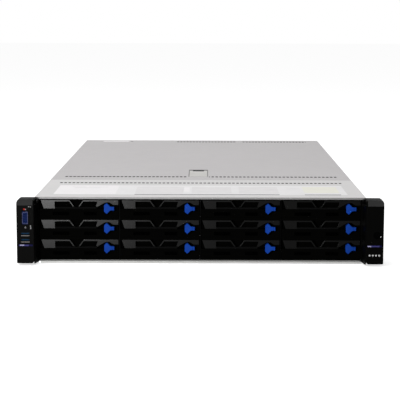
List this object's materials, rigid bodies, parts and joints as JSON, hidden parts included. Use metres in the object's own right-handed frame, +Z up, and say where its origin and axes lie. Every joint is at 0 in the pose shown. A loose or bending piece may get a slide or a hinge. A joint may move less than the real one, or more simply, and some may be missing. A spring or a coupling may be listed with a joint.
{
  "type": "rack server",
  "caption": "Two-unit rack server: front drive carriers with levers and latches, sliding top cover, fans and plug-in power supplies.",
  "frame": {"origin": "centre of the overall footprint, on the underside of the chassis floor", "axes": "+X to the right seen from the front, +Y towards the rear, +Z up; the drive bays face -Y"},
  "size_m": [0.4826, 0.84, 0.087],
  "materials": {
    "chassis_steel": "zinc-plated sheet",
    "front_cover_steel": "plain pale sheet",
    "rear_cover_steel": "plain darker sheet",
    "ear_plastic": "black, fine texture",
    "carrier_plastic": "black moulding",
    "lever_plastic": "dark grey, satin",
    "latch_plastic": "blue",
    "front_socket": "blue with steel shells",
    "rear_socket": "steel shells",
    "circuit_board": "green board",
    "heatsink_metal": "plain",
    "memory_board": "green board with black chips",
    "duct_plastic": "black",
    "riser_steel": "zinc-plated sheet",
    "fan_plastic": "black",
    "supply_steel": "zinc-plated sheet",
    "latch_plate": "warm pale grey",
    "button_plastic": "black"
  },
  "bodies": {
    "chassis": {"chassis_base": "chassis_steel", "rear_panel": "chassis_steel", "supply_bay": "chassis_steel", "drive_cage": "chassis_steel", "front_top_cover": "front_cover_steel", "left_ear": "ear_plastic", "right_ear": "ear_plastic", "ear_fittings": "front_socket", "rear_ports": "rear_socket", "circuit_boards": "circuit_board", "heatsinks": "heatsink_metal", "memory_modules": "memory_board", "air_duct": "duct_plastic", "riser_cages": "riser_steel", "fan_housings": "fan_plastic"},
    "rear_cover": {"rear_top_cover": "rear_cover_steel"},
    "cover_latch": {"cover_latch": "latch_plate"},
    "power_button": {"power_button": "button_plastic"},
    "fan_rotor_1": {"fan_rotor_1": "fan_plastic"},
    "fan_rotor_2": {"fan_rotor_2": "fan_plastic"},
    "fan_rotor_3": {"fan_rotor_3": "fan_plastic"},
    "fan_rotor_4": {"fan_rotor_4": "fan_plastic"},
    "power_supply_lower": {"power_supply_lower": "supply_steel"},
    "power_supply_upper": {"power_supply_upper": "supply_steel"},
    "carrier_1a": {"carrier_tray_1a": "carrier_plastic"},
    "lever_1a": {"carrier_lever_1a": "lever_plastic"},
    "latch_1a": {"carrier_latch_1a": "latch_plastic"},
    "carrier_1b": {"carrier_tray_1b": "carrier_plastic"},
    "lever_1b": {"carrier_lever_1b": "lever_plastic"},
    "latch_1b": {"carrier_latch_1b": "latch_plastic"},
    "carrier_1c": {"carrier_tray_1c": "carrier_plastic"},
    "lever_1c": {"carrier_lever_1c": "lever_plastic"},
    "latch_1c": {"carrier_latch_1c": "latch_plastic"},
    "carrier_2a": {"carrier_tray_2a": "carrier_plastic"},
    "lever_2a": {"carrier_lever_2a": "lever_plastic"},
    "latch_2a": {"carrier_latch_2a": "latch_plastic"},
    "carrier_2b": {"carrier_tray_2b": "carrier_plastic"},
    "lever_2b": {"carrier_lever_2b": "lever_plastic"},
    "latch_2b": {"carrier_latch_2b": "latch_plastic"},
    "carrier_2c": {"carrier_tray_2c": "carrier_plastic"},
    "lever_2c": {"carrier_lever_2c": "lever_plastic"},
    "latch_2c": {"carrier_latch_2c": "latch_plastic"},
    "carrier_3a": {"carrier_tray_3a": "carrier_plastic"},
    "lever_3a": {"carrier_lever_3a": "lever_plastic"},
    "latch_3a": {"carrier_latch_3a": "latch_plastic"},
    "carrier_3b": {"carrier_tray_3b": "carrier_plastic"},
    "lever_3b": {"carrier_lever_3b": "lever_plastic"},
    "latch_3b": {"carrier_latch_3b": "latch_plastic"},
    "carrier_3c": {"carrier_tray_3c": "carrier_plastic"},
    "lever_3c": {"carrier_lever_3c": "lever_plastic"},
    "latch_3c": {"carrier_latch_3c": "latch_plastic"},
    "carrier_4a": {"carrier_tray_4a": "carrier_plastic"},
    "lever_4a": {"carrier_lever_4a": "lever_plastic"},
    "latch_4a": {"carrier_latch_4a": "latch_plastic"},
    "carrier_4b": {"carrier_tray_4b": "carrier_plastic"},
    "lever_4b": {"carrier_lever_4b": "lever_plastic"},
    "latch_4b": {"carrier_latch_4b": "latch_plastic"},
    "carrier_4c": {"carrier_tray_4c": "carrier_plastic"},
    "lever_4c": {"carrier_lever_4c": "lever_plastic"},
    "latch_4c": {"carrier_latch_4c": "latch_plastic"}
  },
  "joints": [
    {"name": "cover_slide", "type": "slide", "parent": "chassis", "child": "rear_cover", "axis": [0, 1, 0], "range_m": [0, 0.015]},
    {"name": "cover_latch_lift", "type": "hinge", "parent": "rear_cover", "child": "cover_latch", "pos_m": [-0.004, -0.16635, 0.08486], "axis": [1, 0, 0], "range_deg": [0, 75]},
    {"name": "power_button_press", "type": "slide", "parent": "chassis", "child": "power_button", "axis": [0, 1, 0], "range_m": [0, 0.0015], "stiffness_N_per_m": 600},
    {"name": "fan_spin_1", "type": "hinge", "parent": "chassis", "child": "fan_rotor_1", "pos_m": [-0.1575, -0.14025, 0.0412], "axis": [0, 1, 0], "continuous": true},
    {"name": "fan_spin_2", "type": "hinge", "parent": "chassis", "child": "fan_rotor_2", "pos_m": [-0.0525, -0.14025, 0.0412], "axis": [0, 1, 0], "continuous": true},
    {"name": "fan_spin_3", "type": "hinge", "parent": "chassis", "child": "fan_rotor_3", "pos_m": [0.0525, -0.14025, 0.0412], "axis": [0, 1, 0], "continuous": true},
    {"name": "fan_spin_4", "type": "hinge", "parent": "chassis", "child": "fan_rotor_4", "pos_m": [0.1575, -0.14025, 0.0412], "axis": [0, 1, 0], "continuous": true},
    {"name": "supply_slide_lower", "type": "slide", "parent": "chassis", "child": "power_supply_lower", "axis": [0, 1, 0], "range_m": [0, 0.16]},
    {"name": "supply_slide_upper", "type": "slide", "parent": "chassis", "child": "power_supply_upper", "axis": [0, 1, 0], "range_m": [0, 0.16]},
    {"name": "carrier_slide_1a", "type": "slide", "parent": "chassis", "child": "carrier_1a", "axis": [0, -1, 0], "range_m": [0, 0.15]},
    {"name": "lever_swing_1a", "type": "hinge", "parent": "carrier_1a", "child": "lever_1a", "pos_m": [-0.2083, -0.38795, 0.0229], "axis": [0, 0, -1], "range_deg": [0, 65]},
    {"name": "latch_press_1a", "type": "slide", "parent": "carrier_1a", "child": "latch_1a", "axis": [1, 0, 0], "range_m": [0, 0.003], "stiffness_N_per_m": 500},
    {"name": "carrier_slide_1b", "type": "slide", "parent": "chassis", "child": "carrier_1b", "axis": [0, -1, 0], "range_m": [0, 0.15]},
    {"name": "lever_swing_1b", "type": "hinge", "parent": "carrier_1b", "child": "lever_1b", "pos_m": [-0.2083, -0.38795, 0.0496], "axis": [0, 0, -1], "range_deg": [0, 65]},
    {"name": "latch_press_1b", "type": "slide", "parent": "carrier_1b", "child": "latch_1b", "axis": [1, 0, 0], "range_m": [0, 0.003], "stiffness_N_per_m": 500},
    {"name": "carrier_slide_1c", "type": "slide", "parent": "chassis", "child": "carrier_1c", "axis": [0, -1, 0], "range_m": [0, 0.15]},
    {"name": "lever_swing_1c", "type": "hinge", "parent": "carrier_1c", "child": "lever_1c", "pos_m": [-0.2083, -0.38795, 0.0763], "axis": [0, 0, -1], "range_deg": [0, 65]},
    {"name": "latch_press_1c", "type": "slide", "parent": "carrier_1c", "child": "latch_1c", "axis": [1, 0, 0], "range_m": [0, 0.003], "stiffness_N_per_m": 500},
    {"name": "carrier_slide_2a", "type": "slide", "parent": "chassis", "child": "carrier_2a", "axis": [0, -1, 0], "range_m": [0, 0.15]},
    {"name": "lever_swing_2a", "type": "hinge", "parent": "carrier_2a", "child": "lever_2a", "pos_m": [-0.10075, -0.38795, 0.0229], "axis": [0, 0, -1], "range_deg": [0, 65]},
    {"name": "latch_press_2a", "type": "slide", "parent": "carrier_2a", "child": "latch_2a", "axis": [1, 0, 0], "range_m": [0, 0.003], "stiffness_N_per_m": 500},
    {"name": "carrier_slide_2b", "type": "slide", "parent": "chassis", "child": "carrier_2b", "axis": [0, -1, 0], "range_m": [0, 0.15]},
    {"name": "lever_swing_2b", "type": "hinge", "parent": "carrier_2b", "child": "lever_2b", "pos_m": [-0.10075, -0.38795, 0.0496], "axis": [0, 0, -1], "range_deg": [0, 65]},
    {"name": "latch_press_2b", "type": "slide", "parent": "carrier_2b", "child": "latch_2b", "axis": [1, 0, 0], "range_m": [0, 0.003], "stiffness_N_per_m": 500},
    {"name": "carrier_slide_2c", "type": "slide", "parent": "chassis", "child": "carrier_2c", "axis": [0, -1, 0], "range_m": [0, 0.15]},
    {"name": "lever_swing_2c", "type": "hinge", "parent": "carrier_2c", "child": "lever_2c", "pos_m": [-0.10075, -0.38795, 0.0763], "axis": [0, 0, -1], "range_deg": [0, 65]},
    {"name": "latch_press_2c", "type": "slide", "parent": "carrier_2c", "child": "latch_2c", "axis": [1, 0, 0], "range_m": [0, 0.003], "stiffness_N_per_m": 500},
    {"name": "carrier_slide_3a", "type": "slide", "parent": "chassis", "child": "carrier_3a", "axis": [0, -1, 0], "range_m": [0, 0.15]},
    {"name": "lever_swing_3a", "type": "hinge", "parent": "carrier_3a", "child": "lever_3a", "pos_m": [0.0068, -0.38795, 0.0229], "axis": [0, 0, -1], "range_deg": [0, 65]},
    {"name": "latch_press_3a", "type": "slide", "parent": "carrier_3a", "child": "latch_3a", "axis": [1, 0, 0], "range_m": [0, 0.003], "stiffness_N_per_m": 500},
    {"name": "carrier_slide_3b", "type": "slide", "parent": "chassis", "child": "carrier_3b", "axis": [0, -1, 0], "range_m": [0, 0.15]},
    {"name": "lever_swing_3b", "type": "hinge", "parent": "carrier_3b", "child": "lever_3b", "pos_m": [0.0068, -0.38795, 0.0496], "axis": [0, 0, -1], "range_deg": [0, 65]},
    {"name": "latch_press_3b", "type": "slide", "parent": "carrier_3b", "child": "latch_3b", "axis": [1, 0, 0], "range_m": [0, 0.003], "stiffness_N_per_m": 500},
    {"name": "carrier_slide_3c", "type": "slide", "parent": "chassis", "child": "carrier_3c", "axis": [0, -1, 0], "range_m": [0, 0.15]},
    {"name": "lever_swing_3c", "type": "hinge", "parent": "carrier_3c", "child": "lever_3c", "pos_m": [0.0068, -0.38795, 0.0763], "axis": [0, 0, -1], "range_deg": [0, 65]},
    {"name": "latch_press_3c", "type": "slide", "parent": "carrier_3c", "child": "latch_3c", "axis": [1, 0, 0], "range_m": [0, 0.003], "stiffness_N_per_m": 500},
    {"name": "carrier_slide_4a", "type": "slide", "parent": "chassis", "child": "carrier_4a", "axis": [0, -1, 0], "range_m": [0, 0.15]},
    {"name": "lever_swing_4a", "type": "hinge", "parent": "carrier_4a", "child": "lever_4a", "pos_m": [0.11435, -0.38795, 0.0229], "axis": [0, 0, -1], "range_deg": [0, 65]},
    {"name": "latch_press_4a", "type": "slide", "parent": "carrier_4a", "child": "latch_4a", "axis": [1, 0, 0], "range_m": [0, 0.003], "stiffness_N_per_m": 500},
    {"name": "carrier_slide_4b", "type": "slide", "parent": "chassis", "child": "carrier_4b", "axis": [0, -1, 0], "range_m": [0, 0.15]},
    {"name": "lever_swing_4b", "type": "hinge", "parent": "carrier_4b", "child": "lever_4b", "pos_m": [0.11435, -0.38795, 0.0496], "axis": [0, 0, -1], "range_deg": [0, 65]},
    {"name": "latch_press_4b", "type": "slide", "parent": "carrier_4b", "child": "latch_4b", "axis": [1, 0, 0], "range_m": [0, 0.003], "stiffness_N_per_m": 500},
    {"name": "carrier_slide_4c", "type": "slide", "parent": "chassis", "child": "carrier_4c", "axis": [0, -1, 0], "range_m": [0, 0.15]},
    {"name": "lever_swing_4c", "type": "hinge", "parent": "carrier_4c", "child": "lever_4c", "pos_m": [0.11435, -0.38795, 0.0763], "axis": [0, 0, -1], "range_deg": [0, 65]},
    {"name": "latch_press_4c", "type": "slide", "parent": "carrier_4c", "child": "latch_4c", "axis": [1, 0, 0], "range_m": [0, 0.003], "stiffness_N_per_m": 500}
  ],
  "couplings": [
    {"joint": "cover_latch_lift", "follows": "cover_slide", "rad_per_m": 87.2}
  ]
}
